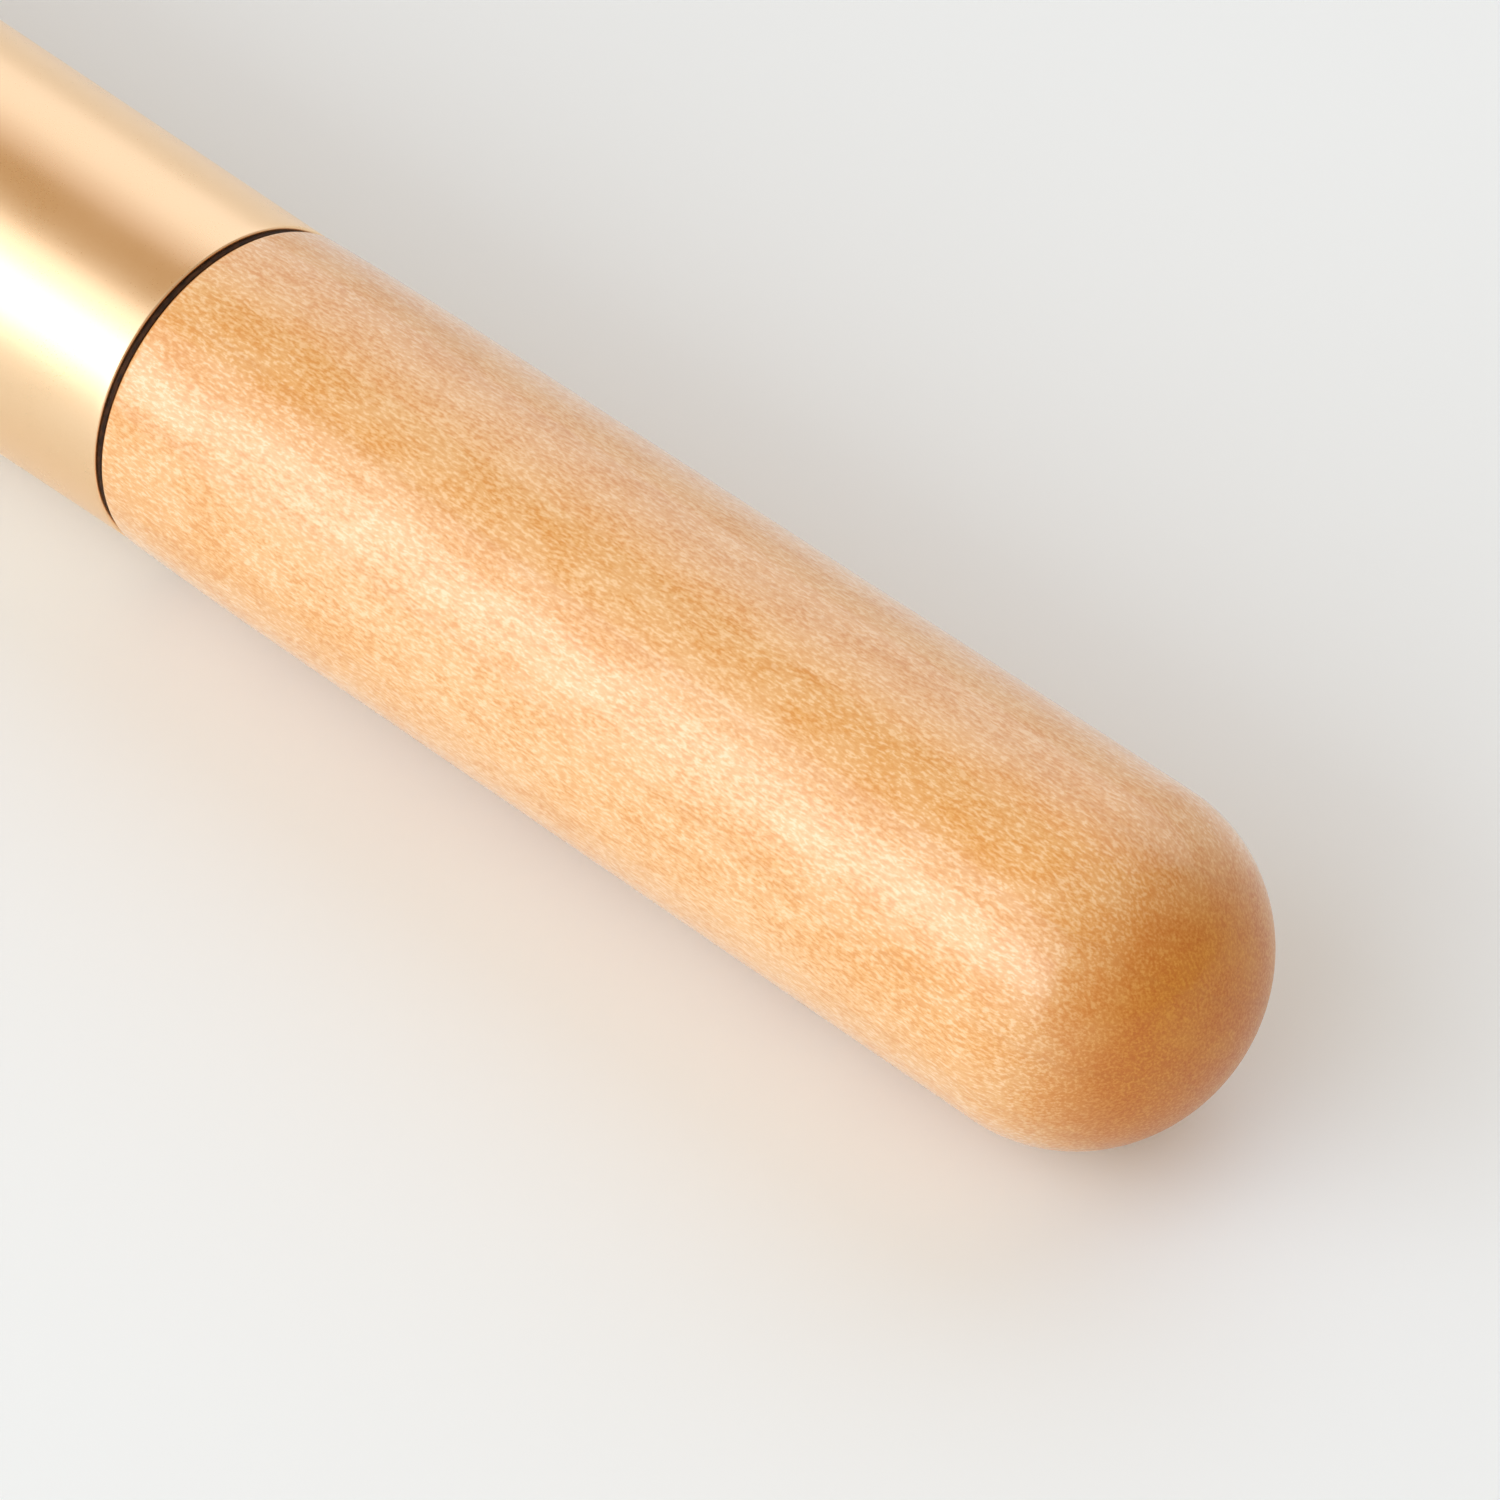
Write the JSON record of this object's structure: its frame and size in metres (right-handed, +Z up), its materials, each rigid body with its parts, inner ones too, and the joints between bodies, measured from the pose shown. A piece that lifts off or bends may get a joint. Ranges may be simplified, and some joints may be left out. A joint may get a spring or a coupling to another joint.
{
  "type": "dip pen holder",
  "caption": "Dip pen holder: domed maple tail and tapered maple grip joined by a satin gold sleeve, with a nib ferrule and a pull-out pointed nib.",
  "frame": {"origin": "under the middle of the pen's length, on the surface that the lowest flat of the grip's swell lies on", "axes": "+X along the pen towards the domed tail, -X towards the nib, +Z up"},
  "size_m": [0.1758, 0.0128, 0.0128],
  "materials": {
    "maple": "clear satin lacquer",
    "satin_gold": "satin champagne gold anodising",
    "ferrule_gold": "satin, lightly polished",
    "brass_insert": "turned",
    "black_fibre": "matte",
    "stud_steel": "zinc plated",
    "spring_steel": "bright strip",
    "nib_steel": "bright, lightly brushed"
  },
  "bodies": {
    "holder": {"sleeve": "satin_gold", "tie_stud": "stud_steel", "grip_washer": "black_fibre", "grip_insert": "brass_insert", "grip_handle": "maple", "nib_ferrule": "ferrule_gold", "quill_socket": "brass_insert", "nib_clip": "spring_steel"},
    "tail_ring": {"tail_washer": "black_fibre"},
    "tail": {"tail_handle": "maple", "tail_insert": "brass_insert"},
    "nib": {"nib": "nib_steel"}
  },
  "joints": [
    {"name": "tail_travel", "type": "slide", "parent": "holder", "child": "tail_ring", "axis": [1, 0, 0], "range_m": [0, 0.0084]},
    {"name": "tail_unscrew", "type": "hinge", "parent": "tail_ring", "child": "tail", "pos_m": [0.04452, 0, 0.0064], "axis": [1, 0, 0], "range_deg": [0, 4320]},
    {"name": "nib_pull", "type": "slide", "parent": "holder", "child": "nib", "axis": [-1, 0, 0], "range_m": [0, 0.01]}
  ],
  "couplings": [
    {"joint": "tail_travel", "follows": "tail_unscrew", "m_per_rad": 0.00011141}
  ]
}
